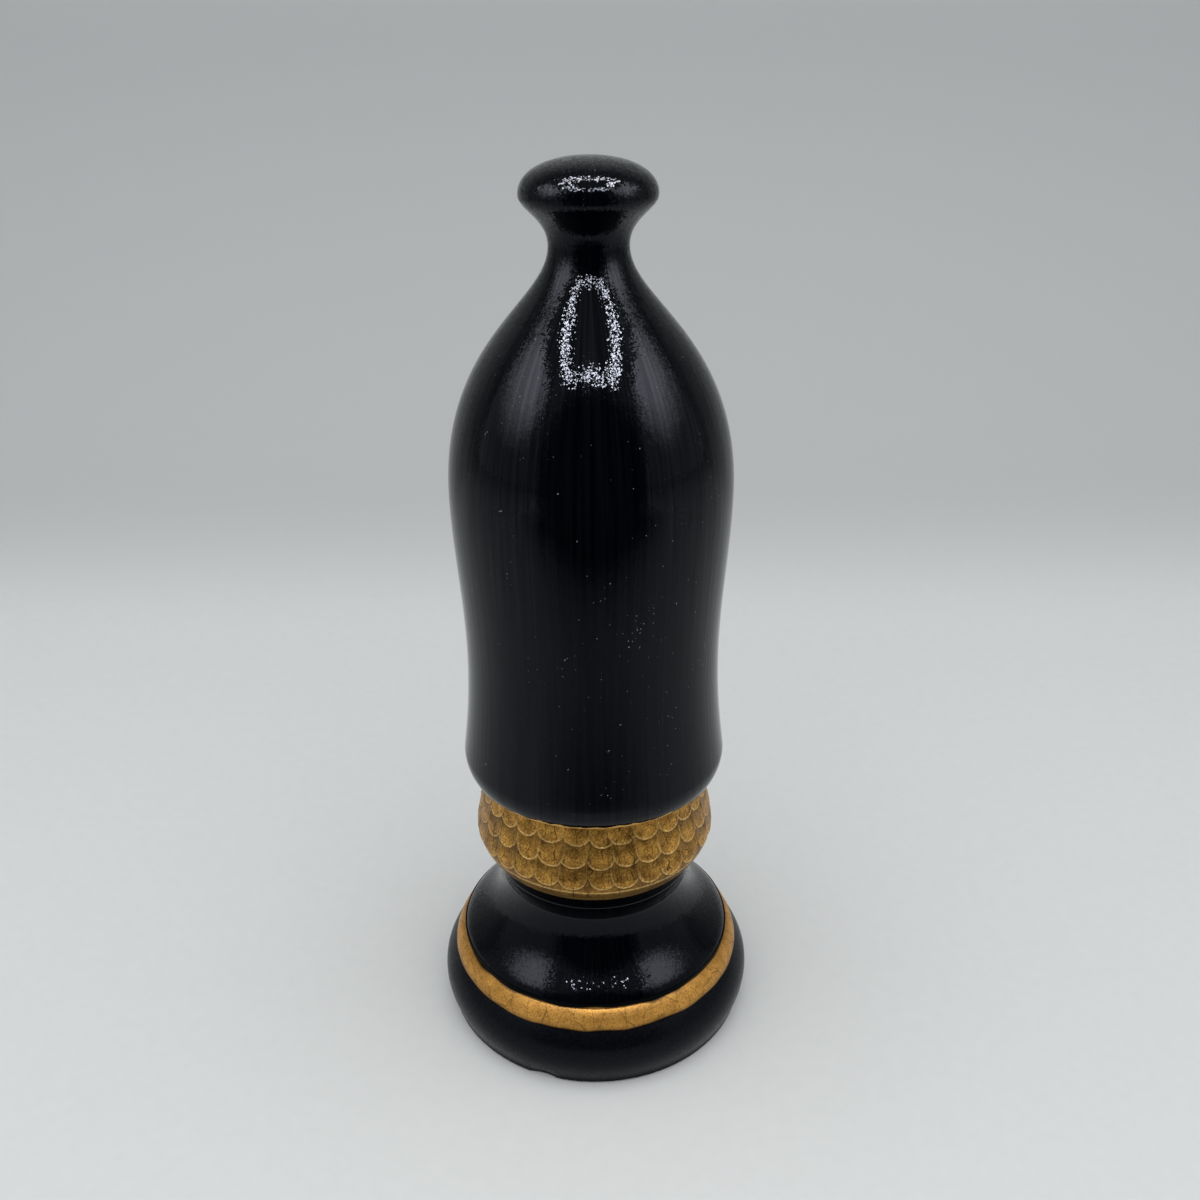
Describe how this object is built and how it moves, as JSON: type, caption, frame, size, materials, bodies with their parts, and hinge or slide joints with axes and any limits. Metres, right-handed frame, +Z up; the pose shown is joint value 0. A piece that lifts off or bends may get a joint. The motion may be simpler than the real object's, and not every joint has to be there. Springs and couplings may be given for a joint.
{
  "type": "chess pawn",
  "caption": "Large decorative chess pawn: black bell-shaped cloak with a knob on top, gold scale skirt, flared black pedestal, gold bead band and rounded foot on felt.",
  "frame": {"origin": "centre of the underside of the felt pad, on the table", "axes": "+Z up along the axis of the stack; -Y towards the side that the picture shows"},
  "size_m": [0.0626, 0.0626, 0.165],
  "materials": {
    "black_glaze": "high gloss, brushed on",
    "black_satin": "satin gloss",
    "antique_gold": "antiqued metallic gold paint, dark in the recesses",
    "gold_paint": "metallic gold paint, finely crazed",
    "cast_iron": "as cast",
    "cork": "pressed cork",
    "felt": "dark green felt"
  },
  "bodies": {
    "root": {"cloak": "black_glaze", "pedestal": "black_glaze", "foot": "black_satin", "scale_skirt": "antique_gold", "base_band": "gold_paint", "ballast_slug": "cast_iron", "base_plug": "cork", "felt_pad": "felt"}
  },
  "joints": []
}
